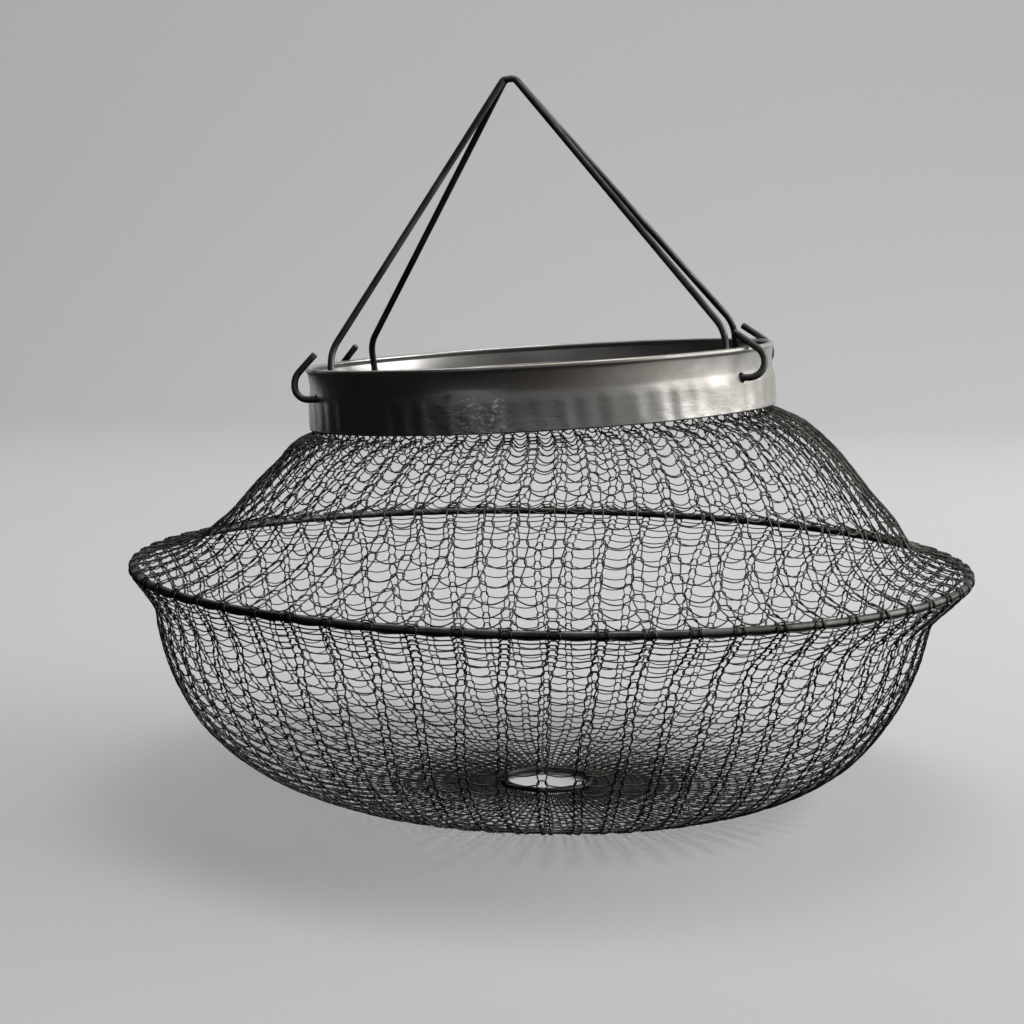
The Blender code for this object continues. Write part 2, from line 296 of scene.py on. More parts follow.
def noise(graph, place, scale, detail, roughness, stretch=None):
    if stretch:
        place = graph.vector("MULTIPLY", place, stretch)
    return graph.add(
        "ShaderNodeTexNoise",
        sockets={"Vector": place, "Scale": scale, "Detail": detail, "Roughness": roughness},
    )


def finish(graph, shader, colour, roughness, height, distance, strength):
    graph.feed(colour, shader, "Base Color")
    graph.feed(roughness, shader, "Roughness")
    relief = {"Height": height, "Distance": distance, "Strength": strength}
    graph.feed(graph.add("ShaderNodeBump", sockets=relief), shader, "Normal")


# Where the collar's marks begin and where they are full, in its own frame.
DULL_HEIGHTS = (0.0135, 0.0115)
FRONT_HALF = (0, -0.01)
BROWN_TINT_START = (-0.012, 0.012)
BROWN_TINT_END = (0.062, 0.04)
BROWN_TINT_HEIGHTS = (0.0115, 0.016)
SOLDER_ACROSS = (LAP_SEAM[0] - 0.01, LAP_SEAM[0] + 0.006)
SOLDER_HEIGHTS = (0.0165, 0.0105)
SEAM_EDGE = 0.0002


def sheet_metal():
    """Spun tinned sheet: fine lines round it, grey bloom and solder on the lap at the front."""
    material, graph, shader, place = new_metal("spun_sheet", 0.36)
    turned = graph.add(
        "ShaderNodeMapping",
        {"vector_type": "TEXTURE"},
        {
            "Vector": place,
            "Location": collar_frame.translation,
            "Rotation": (0, -COLLAR_LEAN, 0),
        },
    )
    x, y, z = graph.apart(turned)
    lines = noise(graph, turned, scale=60, detail=4, roughness=0.6, stretch=(0.4, 0.4, 60))
    fine = noise(graph, turned, scale=420, detail=3, roughness=0.6, stretch=(0.15, 0.15, 6))
    bloom = noise(graph, turned, scale=38, detail=5, roughness=0.62)
    specks = noise(graph, turned, scale=900, detail=2, roughness=0.5)
    crumple = noise(graph, turned, scale=270, detail=2, roughness=0.5, stretch=(1, 1, 2.2))
    stains = noise(graph, turned, scale=14, detail=4, roughness=0.6, stretch=(1, 1, 2.2))
    grime = (stains + bloom * 0.35).between(0.62, 0.86)
    lower = z.between(*DULL_HEIGHTS)
    front = y.between(*FRONT_HALF)
    # a patchy brown tint, darker than the sheet, over the upper band of the front half to the
    # right of the lap, up to the rim
    brown_tint = x.between(*BROWN_TINT_START) * x.between(*BROWN_TINT_END) * z.between(*BROWN_TINT_HEIGHTS) * front
    # solder left on the lap: flecks that thin out to the left and upwards, cut off at the seam
    soldered = x.between(*SOLDER_ACROSS) * z.between(*SOLDER_HEIGHTS)
    beads = noise(graph, turned, scale=560, detail=4, roughness=0.72, stretch=(0.75, 0.75, 1.4))
    flecks = (beads - (1 - soldered) * 0.3).between(0.47, 0.68)
    flecks = flecks * x.between(LAP_SEAM[1], LAP_SEAM[1] - SEAM_EDGE) * front
    colour = graph.mix(bloom.between(0.3, 0.75), (0.56, 0.55, 0.53), (0.40, 0.395, 0.38))
    colour = graph.mix(grime * 0.5, colour, (0.22, 0.205, 0.18))
    colour = graph.mix(lower * 0.2, colour, (0.42, 0.40, 0.365))
    colour = graph.mix(brown_tint * bloom * 0.9, colour, (0.36, 0.29, 0.225))
    colour = graph.mix(flecks * 0.9, colour, (0.78, 0.74, 0.67))
    graph.feed(1 - flecks * 0.6, shader, "Metallic")
    rough = 0.24 + bloom * 0.16 + grime * 0.14 + flecks * 0.4 + (lines - 0.5) * 0.2
    height = lines * 0.5 + fine * 0.35 + specks * 0.12 + flecks * 2 + lower * crumple * 3
    finish(graph, shader, colour, rough, height, distance=0.00006, strength=0.55)
    return material


def clamp_metal():
    material, graph, shader, place = new_metal("clamp_sheet", 0.45)
    lines = noise(graph, place, scale=60, detail=4, roughness=0.6, stretch=(0.4, 0.4, 40))
    bloom = noise(graph, place, scale=45, detail=5, roughness=0.6)
    colour = graph.mix(bloom.between(0.3, 0.72), (0.44, 0.43, 0.41), (0.27, 0.26, 0.245))
    height = lines * 0.6 + bloom * 0.4
    finish(graph, shader, colour, 0.36 + bloom * 0.2, height, distance=0.00006, strength=0.5)
    return material


def knit_metal():
    """Thin annealed steel wire, nearly black, rubbed a little brighter here and there."""
    material, graph, shader, place = new_metal("knit_wire", 0.42)
    patches = noise(graph, place, scale=55, detail=4, roughness=0.6)
    fine = noise(graph, place, scale=1900, detail=2, roughness=0.5)
    colour = graph.mix(patches.between(0.36, 0.68), (0.075, 0.072, 0.066), (0.15, 0.142, 0.13))
    colour = graph.mix((fine - 0.55).between(0, 0.2) * 0.35, colour, (0.05, 0.034, 0.022))
    finish(graph, shader, colour, 0.34 + patches * 0.16, fine, distance=0.00003, strength=0.4)
    return material


def bent_wire(name, dark, pale):
    """Drawn wire that was bent cold: dull patches and small dings."""
    material, graph, shader, place = new_metal(name, 0.38)
    dings = noise(graph, place, scale=300, detail=3, roughness=0.6)
    patches = noise(graph, place, scale=70, detail=4, roughness=0.6)
    pits = noise(graph, place, scale=1300, detail=2, roughness=0.5)
    colour = graph.mix(patches.between(0.34, 0.7), dark, pale)
    colour = graph.mix(pits.between(0.58, 0.72) * 0.4, colour, (0.05, 0.036, 0.025))
    height = dings * 0.7 + pits * 0.3
    finish(graph, shader, colour, 0.3 + patches * 0.2, height, distance=0.00005, strength=0.5)
    return material


# Shapes

def ease(share):
    share = min(max(share, 0), 1)
    return share * share * (3 - 2 * share)


def add_object(name, data):
    obj = bpy.data.objects.new(name, data)
    bpy.context.scene.collection.objects.link(obj)
    return obj


def with_modifiers(obj):
    """The object's mesh as its modifiers leave it."""
    bpy.context.view_layer.update()
    evaluated = obj.evaluated_get(bpy.context.evaluated_depsgraph_get())
    return bpy.data.meshes.new_from_object(evaluated)


def closed_mesh(name, work, place):
    bmesh.ops.recalc_face_normals(work, faces=work.faces)
    mesh = bpy.data.meshes.new(name)
    work.to_mesh(mesh)
    work.free()
    mesh.transform(place)
    return mesh


def new_piece(name, mesh, material, body, nodes):
    obj = add_object(name, mesh)
    mesh.materials.clear()
    mesh.materials.append(material)
    mesh.polygons.foreach_set("use_smooth", [True] * len(mesh.polygons))
    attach(obj, body)
    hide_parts(*nodes)


def ring_mesh(name, outline, columns, place):
    """A closed band. outline(angle) gives its (radius, height) section, always the same count."""
    work = bmesh.new()
    rings = []
    for column in range(columns):
        angle = math.tau * column / columns
        rings.append([
            work.verts.new((radius * math.cos(angle), radius * math.sin(angle), height))
            for radius, height in outline(angle)
        ])
    count = len(rings[0])
    for here, there in zip(rings, rings[1:] + rings[:1]):
        for row in range(count):
            below = (row + 1) % count
            work.faces.new((here[row], here[below], there[below], there[row]))
    return closed_mesh(name, work, place)


END_DOME = 0.28  # rise of a wire's sawn end, of its radius
END_FLAT = 0.74


def wire_mesh(name, path, radius, sides, place, closed=False):
    """A round wire along a path of points, with blunt, slightly rounded ends."""
    work = bmesh.new()
    path = [Vector(point) for point in path]
    count = len(path)
    rings = []
    normal = Vector((0, 1, 0))
    for index, point in enumerate(path):
        before = path[index - 1] if index or closed else point
        after = path[(index + 1) % count] if index + 1 < count or closed else point
        along = (after - before).normalized()
        normal = (normal - along * normal.dot(along)).normalized()
        side = along.cross(normal)
        rings.append([
            work.verts.new(point + (normal * math.cos(turn) + side * math.sin(turn)) * radius)
            for turn in (math.tau * k / sides for k in range(sides))
        ])
    for here, there in zip(rings, rings[1:] + (rings[:1] if closed else [])):
        for k in range(sides):
            after = (k + 1) % sides
            work.faces.new((here[k], here[after], there[after], there[k]))
    if not closed:
        for ring, end, inner in ((rings[0], path[0], path[1]), (rings[-1], path[-1], path[-2])):
            out = (end - inner).normalized() * radius * END_DOME
            chamfer = [work.verts.new(end + (v.co - end) * END_FLAT + out) for v in ring]
            for k in range(sides):
                after = (k + 1) % sides
                work.faces.new((ring[k], ring[after], chamfer[after], chamfer[k]))
            work.faces.new(chamfer)
    return closed_mesh(name, work, place)


# Collar

LAP_STEP = 0.00022
LAP_SLOPE = 0.003
LAP_TOP = 0.0145
LAP_FADE = 0.002
DENT_DEPTH = 0.00015
DENT_TOP = 0.0128
DENT_FADE = 0.004
DENT_FOOT = -0.001
DENT_FOOT_FADE = 0.003
INNER_DENT_SHARE = 0.6  # of a dent, as it shows inside
# Out of round: size, waves a turn, start in radians, and radians a metre of height.
WOBBLE_WAVES = ((0.00009, 5, 1.3, 0), (0.00006, 11, 0, 260))


def band_radius(height):
    """Outside of the collar band: flared at the rim, narrow at the waist, wider over the net."""
    waist = COLLAR_HEIGHT - WAIST_DROP
    if height >= waist:
        return COLLAR_RADIUS + RIM_FLARE * ((height - waist) / WAIST_DROP) ** 2
    step = SWELL * ease((waist - height) / SWELL_TAPER)
    return COLLAR_RADIUS + step + SKIRT * (waist - height) / waist


def dent(angle, height):
    """How far the sheet stands out over the net's loops below the waist: one soft rib a wale."""
    zone = ease((DENT_TOP - height) / DENT_FADE) * ease((height - DENT_FOOT) / DENT_FOOT_FADE)
    # no two ribs are alike: they vary in depth, lean and blur
    drift = 0.5 + 0.5 * math.sin(13 * angle + 0.7) * math.sin(29 * angle + 2.1)
    slant = 0.7 * math.sin(9 * angle) + 90 * height
    soft = 0.4 * math.sin(23 * angle + 1.1) * math.sin(5 * angle + 200 * height)
    return DENT_DEPTH * zone * (math.cos(WALES * angle + slant) * (0.3 + 0.7 * drift) + soft)


def lap(angle, height):
    """The outer end of the sheet where it laps over the inner one."""
    x = COLLAR_RADIUS * math.cos(angle)
    start = LAP_SEAM[0] - LAP_SLOPE
    if math.sin(angle) > 0 or not start < x < LAP_SEAM[1]:
        return 0
    return LAP_STEP * ease((x - start) / LAP_SLOPE) * ease((LAP_TOP - height) / LAP_FADE)


def wobble(angle, height):
    """Hand-finished sheet is never quite round."""
    return sum(
        size * math.sin(waves * angle + start + climb * height)
        for size, waves, start, climb in WOBBLE_WAVES
    )


def collar_outline(angle):
    roll_radius = COLLAR_RADIUS + RIM_FLARE - RIM_ROLL
    roll_height = COLLAR_HEIGHT - RIM_ROLL
    outline = []
    for step in range(RIM_ROLL_STEPS + 1):
        turn = RIM_ROLL_START - RIM_ROLL_SWEEP * step / RIM_ROLL_STEPS
        outline.append(
            (roll_radius + RIM_ROLL * math.cos(turn), roll_height + RIM_ROLL * math.sin(turn))
        )
    top = COLLAR_HEIGHT - 2 * RIM_ROLL
    heights = [top * (1 - row / BAND_ROWS) for row in range(BAND_ROWS + 1)]
    for height in heights:
        out = dent(angle, height) + lap(angle, height) + wobble(angle, height)
        outline.append((band_radius(height) + out, height))
    for height in reversed(heights):
        out = dent(angle, height) * INNER_DENT_SHARE + wobble(angle, height)
        outline.append((band_radius(height) - COLLAR_WALL + out, height))
    return outline


def clamp_outline(angle):
    lip = COLLAR_RADIUS - COLLAR_WALL - CLEARANCE
    lip_foot = CLAMP_HEIGHT - CLAMP_SEAT
    outer = [(lip, CLAMP_HEIGHT - CLAMP_EDGE), (lip, lip_foot)]
    for step in range(1, CLAMP_LIP_STEPS + 1):
        share = step / CLAMP_LIP_STEPS
        radius = lip + (CLAMP_OUTSIDE - lip) * ease(share)
        outer.append((radius, lip_foot - CLAMP_LIP_TAPER * share))
    taper_foot = lip_foot - CLAMP_LIP_TAPER
    outer += [
        (CLAMP_OUTSIDE, taper_foot * (1 - row / CLAMP_ROWS)) for row in range(1, CLAMP_ROWS + 1)
    ]
    out = wobble(angle, 0) * CLAMP_WOBBLE_SHARE
    inner = [(radius - CLAMP_WALL, height) for radius, height in reversed(outer)]
    return [(radius + out, height) for radius, height in outer + inner]


def hinge_height():
    return COLLAR_HEIGHT - HINGE_DROP


def hole_mouth():
    radius = band_radius(hinge_height())
    return math.sqrt(radius**2 - HINGE_OFFSET**2)


def punch_holes(mesh):
    """The four holes for the handles' hooks, along the two hinge axes."""
    obj = add_object("punched", mesh)
    rods = []
    for side in (-1, 1):
        work = bmesh.new()
        bmesh.ops.create_cone(
            work,
            cap_ends=True,
            segments=HOLE_SEGMENTS,
            radius1=HANDLE_HOLE / 2,
            radius2=HANDLE_HOLE / 2,
            depth=2 * hole_mouth() + DRILL_SPARE,
            matrix=collar_frame
            @ Matrix.Translation((0, side * HINGE_OFFSET, hinge_height()))
            @ Matrix.Rotation(math.pi / 2, 4, "Y"),
        )
        drill = bpy.data.meshes.new("drill")
        work.to_mesh(drill)
        work.free()
        rod = add_object("drill", drill)
        boolean = obj.modifiers.new("Punch", "BOOLEAN")
        boolean.operation = "DIFFERENCE"
        boolean.solver = "EXACT"
        boolean.object = rod
        rods.append(rod)
    punched = with_modifiers(obj)
    for spare in [obj, *rods]:
        bpy.data.objects.remove(spare)
    return punched


def make_collar():
    band = punch_holes(ring_mesh("band", collar_outline, BAND_COLUMNS, collar_frame))
    band.name = "collar_band_skin"
    new_piece("collar_sheet", band, sheet_metal(), "basket", ["collar_band"])
    clamp = punch_holes(ring_mesh("clamp", clamp_outline, CLAMP_COLUMNS, collar_frame))
    clamp.name = "clamp_band_skin"
    new_piece("clamp_sheet", clamp, clamp_metal(), "basket", ["clamp_band"])


# Net

def level(radius, height):
    return lambda angle: Vector((radius * math.cos(angle), radius * math.sin(angle), height))


def along(stations, share):
    """A smooth run through evenly spaced stations."""
    last = len(stations) - 1
    index = min(int(share * last), last - 1)
    before, here, there, after = (
        Vector(stations[min(max(index + k, 0), last)]) for k in (-1, 0, 1, 2)
    )
    step = share * last - index
    bend = 2 * before - 5 * here + 4 * there - after
    turn = 3 * (here - there) + after - before
    return here + ((there - before) * step + bend * step**2 + turn * step**3) / 2


def shoulder_course(share):
    """A course between collar and hoop. The filled net is fullest in front and bulges to +X."""
    grip = level(GRIP_RADIUS, -NET_TUCK)
    foot = level(
        HOOP_RADIUS + HOOP_WRAP_RADIUS * math.cos(HOOP_WRAP_START),
        HOOP_HEIGHT + HOOP_WRAP_RADIUS * math.sin(HOOP_WRAP_START),
    )
    side, front = along(SIDE_SHARES, share), along(FRONT_SHARES, share)
    bulge = SHOULDER_BULGE * ease(share / BULGE_GROWTH) * ease((BULGE_END - share) / BULGE_FADE)

    def course(angle):
        top, low = collar_frame @ grip(angle), foot(angle)
        fullness = ease((math.cos(angle - FRONT_TURN) - FRONT_START) / FRONT_GROWTH)
        out, left = side.lerp(front, fullness)
        point = top.lerp(low, out)
        point.x += bulge
        point.z = low.z + (top.z - low.z) * left
        return point

    return course


def grip_course(height):
    ring = level(GRIP_RADIUS, height)
    return lambda angle: collar_frame @ ring(angle)


def bowl_course(depth):
    pinch = 1 - BOWL_PINCH_SHARE * ease(depth / BOWL_PINCH_DEPTH_SHARE)
    width = (1 - depth**BOWL_DEPTH_POWER) ** BOWL_WIDTH_POWER
    ring = level(
        HOOP_RADIUS * pinch * width, BASE_SEAT + (HOOP_HEIGHT - BASE_SEAT) * (1 - depth)
    )
    shift = BOWL_SHIFT * ease(depth / BOWL_SHIFT_GROWTH) * ease((1 - depth) / BOWL_SHIFT_FADE)
    return lambda angle: ring(angle) + Vector((shift, 0, 0))


GRIP_ROWS = 8
SHOULDER_ROWS = 60
WRAP_STEPS = 16
BOWL_STEPS = 80
WRAP_START_ROW = GRIP_ROWS + SHOULDER_ROWS
WRAP_MIDDLE_ROW = WRAP_START_ROW + WRAP_STEPS // 2
WRAP_END_ROW = WRAP_START_ROW + WRAP_STEPS
# The flat base and the curl round its ring: radius and height.
BASE_POINTS = (
    (0.0755, 0.0029), (0.071, 0.0020), (0.0665, 0.0014), (0.062, 0.0010), (0.056, 0.0008),
    (0.049, 0.0008), (0.042, 0.0008), (0.035, 0.0008), (0.029, 0.0008), (0.024, 0.0008),
    (0.020, 0.0008), (0.017, 0.0008), (0.0152, 0.0009), (0.0144, 0.0014), (0.0142, 0.0022),
    (0.0142, 0.0032),
)


def net_rows():
    """Rings of the net, from the grip in the collar to the curl in the base ring."""
    grip_step = (NET_GRIP + NET_TUCK) / GRIP_ROWS
    rows = [grip_course(NET_GRIP - grip_step * k) for k in range(GRIP_ROWS)]
    rows += [shoulder_course(k / SHOULDER_ROWS) for k in range(SHOULDER_ROWS)]
    for k in range(WRAP_STEPS + 1):
        turn = HOOP_WRAP_START + (HOOP_WRAP_END - HOOP_WRAP_START) * k / WRAP_STEPS
        rows.append(level(
            HOOP_RADIUS + HOOP_WRAP_RADIUS * math.cos(turn),
            HOOP_HEIGHT + HOOP_WRAP_RADIUS * math.sin(turn),
        ))
    rows += [
        bowl_course(BOWL_START + BOWL_SPAN * k / BOWL_STEPS) for k in range(BOWL_STEPS + 1)
    ]
    rows += [level(radius, height) for radius, height in BASE_POINTS]
    return rows


HOOP_HEAD_REACH = 0.0013  # from where the net meets the hoop to the course that wraps it
HOOP_FOOT_REACH = 0.0014  # from where the net leaves the hoop to the end of that course
# Spacing of the courses against the share of the way down.
SHOULDER_SPACINGS = (
    (0, 0.0035), (0.12, 0.0042), (0.2, 0.0046), (0.3, 0.0048), (0.42, 0.0056), (0.6, 0.0060),
    (0.85, 0.0062), (0.925, 0.0058), (0.95, 0.0014), (1, 0.0007),
)
BOWL_SPACINGS = (
    (0, 0.0017), (0.02, 0.0026), (0.05, 0.0041), (0.25, 0.0047), (0.6, 0.0047), (0.8, 0.0048),
    (1, 0.0042),
)


def course_heights(rows):
    """Where each course begins, as lengths along the net at its side. Closest at the hoop."""
    side = math.pi / 2
    run = [0.0]
    for here, there in zip(rows, rows[1:]):
        run.append(run[-1] + (there(side) - here(side)).length)
    wrap_start, wrap_end = run[WRAP_START_ROW], run[WRAP_END_ROW]
    # the last loops of the shoulder have slipped on to the hoop
    head, foot = wrap_start + HOOP_HEAD_REACH, wrap_end + HOOP_FOOT_REACH

    def walk(start, end, spacings):
        marks = [start]
        while marks[-1] < end:
            share = (marks[-1] - start) / (end - start)
            for (a, low), (b, high) in zip(spacings, spacings[1:]):
                if a <= share <= b:
                    marks.append(marks[-1] + low + (high - low) * (share - a) / (b - a))
                    break
            else:
                break
        stretch = (end - start) / (marks[-1] - start)
        return [start + (mark - start) * stretch for mark in marks[:-1]]

    shoulder = walk(0.0, head, SHOULDER_SPACINGS)
    bowl = walk(foot, run[-1], BOWL_SPACINGS)
    return run, shoulder, bowl + [run[-1]]


FREE_GROWTH = 0.02  # lengths over which the net comes free of the collar, the hoop and the base
FREE_HOOP = 0.018
FREE_BASE = 0.03
# How a wale strays: radians to the side, waves a turn, radians a metre of net, start.
WANDER = ((0.004, 9, 40, 0.6), (0.003, 23, -95, 0), (0.008, 4, 46, 2.0))
SMOOTHINGS = 2
SPARE_COLUMNS = 4  # past the sheet's seam, so that no loop falls off it


def net_surface():
    """A guide sheet for the knit. Its map's U counts wales and V courses, both as shares."""
    rows = net_rows()
    run, shoulder, bowl = course_heights(rows)
    marks = shoulder + bowl
    last = len(marks) - 1

    def course_at(length):
        for number, (low, high) in enumerate(zip(marks, marks[1:])):
            if length <= high or number == last - 1:
                return number + (length - low) / (high - low), high - low

    columns = 2 * WALES
    spots, courses, spacings, loose = [], [], [], []
    for length, row in zip(run, rows):
        course, spacing = course_at(length)
        courses.append(course)
        spacings.append(spacing)
        free = ease((length - run[GRIP_ROWS]) / FREE_GROWTH)
        free *= ease(abs(length - run[WRAP_MIDDLE_ROW]) / FREE_HOOP)
        free *= ease((run[-1] - length) / FREE_BASE)
        loose.append(free)
    # the spacing changes smoothly from course to course
    for _ in range(SMOOTHINGS):
        nearby = [spacings[max(k - 1, 0):k + 2] for k in range(len(spacings))]
        spacings = [sum(near) / len(near) for near in nearby]
    for row, length, free in zip(rows, run, loose):
        twist = WALE_TWIST * ease((length - run[GRIP_ROWS]) / TWIST_LENGTH)
        for column in range(-SPARE_COLUMNS, columns + SPARE_COLUMNS + 1):
            angle = math.tau * column / columns + twist
            for sway, waves, climb, start in WANDER:
                angle += free * sway * math.sin(waves * angle + climb * length + start)
            spots.append(row(angle))
    width = columns + 2 * SPARE_COLUMNS + 1
    faces, corners = [], []
    for r in range(len(rows) - 1):
        for c in range(width - 1):
            faces.append((
                r * width + c, (r + 1) * width + c, (r + 1) * width + c + 1, r * width + c + 1
            ))
            for rr, cc in ((r, c), (r + 1, c), (r + 1, c + 1), (r, c + 1)):
                corners.append(((cc - SPARE_COLUMNS) / columns, courses[rr] / last))
    mesh = bpy.data.meshes.new("net_surface")
    mesh.from_pydata(spots, [], faces)
    uv = mesh.uv_layers.new(name="knit_map")
    for loop, place in zip(uv.data, corners):
        loop.uv = place
    normals = [v.normal.copy() for v in mesh.vertices]
    outward = mesh.attributes.new("outward", "FLOAT_VECTOR", "POINT")
    for place, normal in zip(outward.data, normals):
        place.vector = normal
    spread = mesh.attributes.new("spacing", "FLOAT", "POINT")
    for r in range(len(rows)):
        for c in range(width):
            spread.data[r * width + c].value = spacings[r]
    return mesh, len(shoulder), last


# Half a stitch, from the middle of a loop's head to the middle of the link to the next wale: how
# far across and down in metres, share of the way down to the next course, depth in wire radii,
# and share of the way across to the next wale.
STITCH = (
    (0.0, 0.0, 0.0, -1.0, 0.0),
    (0.00095, 0.00008, 0.0, -0.9, 0.0),
    (0.00160, 0.00050, 0.0, -0.2, 0.0),
    (0.00190, 0.00125, 0.0, 0.8, 0.0),
    (0.00182, 0.00225, 0.04, 1.0, 0.0),
    (0.00158, 0.00175, 0.42, 1.0, 0.0),
    (0.00128, 0.00040, 0.86, 1.0, 0.0),
    (0.00112, 0.00048, 1.0, 0.9, 0.0),
    (0.00130, 0.00135, 1.0, 0.1, 0.0),
    (0.00186, 0.00195, 1.0, -0.9, 0.0),
    (0.00200, 0.00238, 1.0, -1.0, 0.30),
    (0.00200, 0.00270, 1.0, -0.8, 0.65),
    (0.00200, 0.00280, 1.0, -0.7, 1.0),
)
STITCH_RANGES = ((0, 0.002), (-0.0004, 0.0036), (0, 1), (-1, 1), (0, 1))
DEPTH_SCATTER = 0.3  # of a wire's radius
FULL_LOOP_PITCH = 0.0048  # between wales, below which loops are narrower
FULL_LOOP_SPACING = 0.003  # between courses, below which loops are flatter
SHEET_END = 0.9999  # the map's last usable share


def knit_tree():
    """Rings of stitches over a sheet that carries the map of the knit."""
    tree = bpy.data.node_groups.new("knitted_wire", "GeometryNodeTree")
    face = tree.interface
    for name, kind in (
        ("Sheet", "NodeSocketGeometry"), ("Wales", "NodeSocketInt"), ("Courses", "NodeSocketInt"),
        ("First course", "NodeSocketInt"), ("All courses", "NodeSocketInt"),
        ("Points a stitch", "NodeSocketInt"), ("Wire", "NodeSocketFloat"),
        ("Wire sides", "NodeSocketInt"), ("Loop width", "NodeSocketFloat"),
        ("Unevenness", "NodeSocketFloat"), ("Droop", "NodeSocketFloat"),
        ("Seed", "NodeSocketInt"), ("Finish", "NodeSocketMaterial"),
    ):
        face.new_socket(name=name, in_out="INPUT", socket_type=kind)
    face.new_socket(name="Net", in_out="OUTPUT", socket_type="NodeSocketGeometry")
    graph = Graph(tree)
    given = graph.add("NodeGroupInput")
    sheet, wales, per_stitch = given, given.out("Wales"), given.out("Points a stitch")
    wire, total = given.out("Wire"), given.out("All courses")

    round_points = wales * per_stitch
    ring = graph.add("GeometryNodeCurvePrimitiveCircle", sockets={"Resolution": round_points})
    line = graph.add("GeometryNodeMeshLine", sockets={"Count": given.out("Courses")})
    rings = graph.add("GeometryNodeInstanceOnPoints", sockets={"Points": line, "Instance": ring})
    rings = graph.add("GeometryNodeRealizeInstances", sockets={"Geometry": rings})

    index = graph.add("GeometryNodeInputIndex")
    in_piece = (index / round_points).floor()
    within = index - in_piece * round_points
    wale = (within / per_stitch).floor()
    course = in_piece + given.out("First course")
    way = (within - wale * per_stitch) / per_stitch * 2 - 1  # -1 to 1 through one stitch
    side = graph.maths("SIGN", way)
    half = way.size()

    def along_stitch(part):
        low, high = STITCH_RANGES[part]
        count = len(STITCH) - 1
        points = [
            (k / count, (row[part] - low) / (high - low)) for k, row in enumerate(STITCH)
        ]
        share = graph.add("ShaderNodeFloatCurve", {"curve": points}, {"Value": half})
        return share * (high - low) + low

    across, drop, down, depth, reach = [along_stitch(part) for part in range(5)]

    def attribute(name, kind):
        return graph.add("GeometryNodeInputNamedAttribute", {"data_type": kind}, {"Name": name})

    def sample(kind, value, u, v):
        spot = graph.together(u, v, 0)
        sockets = {"Mesh": sheet, "Value": value, "UV Map": knit_map, "Sample UV": spot}
        return graph.add("GeometryNodeSampleUVSurface", {"data_type": kind}, sockets)

    knit_map = attribute("knit_map", "FLOAT_VECTOR")
    place = graph.add("GeometryNodeInputPosition")
    middle_u = (wale + 0.5) / wales
    middle_v = ((course + down) / total).at_most(SHEET_END)
    spacing = sample("FLOAT", attribute("spacing", "FLOAT"), middle_u, middle_v)
    x, y, _ = graph.apart(sample("FLOAT_VECTOR", place, middle_u, middle_v))
    pitch = graph.maths("SQRT", x * x + y * y) * math.tau / wales

    def scatter(number):
        roll = graph.add(
            "FunctionNodeRandomValue",
            {"data_type": "FLOAT_VECTOR"},
            {0: (-1, -1, -1), 1: (1, 1, 1), "ID": number, "Seed": given.out("Seed")},
        )
        return graph.apart(roll)

    here = scatter(course * wales + wale)
    below = scatter((course + 1) * wales + wale)
    free = 1 - reach
    shift_x, shift_z, shift_n = [a.towards(b, down) * free for a, b in zip(here, below)]

    narrow = (pitch / FULL_LOOP_PITCH).at_most(1)
    flat = (spacing / FULL_LOOP_SPACING).at_most(1)
    loop = across * narrow * given.out("Loop width")
    offset = side * loop.towards(pitch / 2, reach) + shift_x * given.out("Unevenness") * narrow
    fall = drop * flat + shift_z * given.out("Unevenness") * flat
    u = middle_u + offset / pitch / wales
    v = (middle_v + fall / spacing / total).at_least(1 - SHEET_END).at_most(SHEET_END)
    out = (depth + shift_n * DEPTH_SCATTER) * wire / 2
    spot = sample("FLOAT_VECTOR", place, u, v)
    normal = sample("FLOAT_VECTOR", attribute("outward", "FLOAT_VECTOR"), u, v)
    spot = graph.vector("ADD", spot, graph.vector("SCALE", normal, scale=out))
    # where the net lies nearly flat, the links between the wales hang below it
    lying = graph.apart(normal)[2].at_least(0)
    hang = lying * lying * (1 - free * free) * narrow * given.out("Droop")
    spot = graph.vector("SUBTRACT", spot, graph.together(0, 0, hang))

    bent = graph.add("GeometryNodeSetPosition", sockets={"Geometry": rings, "Position": spot})
    section = graph.add(
        "GeometryNodeCurvePrimitiveCircle",
        sockets={"Resolution": given.out("Wire sides"), "Radius": wire / 2},
    )
    net = graph.add("GeometryNodeCurveToMesh", sockets={"Curve": bent, "Profile Curve": section})
    net = graph.add("GeometryNodeSetShadeSmooth", sockets={"Geometry": net})
    net = graph.add("GeometryNodeRealizeInstances", sockets={"Geometry": net})
    net = graph.add(
        "GeometryNodeSetMaterial", sockets={"Geometry": net, "Material": given.out("Finish")}
    )
    graph.add("NodeGroupOutput", sockets={"Net": net})
    return tree


STITCH_POINTS = 36
HOOP_STITCH_POINTS = 52
PIECE_COURSES = 8
LINK_DROOP = 0.0017
SHOULDER_LOOP_WIDTH = 1.0
BOWL_LOOP_WIDTH = 0.86
UNEVENNESS = 0.00012
KNIT_SEED = 7


def knit(name, tree, sheet, material, first, courses, total, points, width):
    """One stretch of the net as a plain mesh."""
    holder = add_object(name, sheet)
    modifier = holder.modifiers.new("Knit", "NODES")
    modifier.node_group = tree
    given = {
        "Wales": WALES, "Courses": courses, "First course": first, "All courses": total,
        "Points a stitch": points, "Wire": KNIT_WIRE, "Wire sides": KNIT_SIDES,
        "Loop width": width, "Unevenness": UNEVENNESS, "Droop": LINK_DROOP, "Seed": KNIT_SEED,
        "Finish": material,
    }
    for item in tree.interface.items_tree:
        if item.in_out == "INPUT" and item.name in given:
            modifier[item.identifier] = given[item.name]
    mesh = with_modifiers(holder)
    holder.modifiers.remove(modifier)
    bpy.data.objects.remove(holder)
    mesh.name = name
    new_piece(name, mesh, material, "basket", ["knitted_net"])


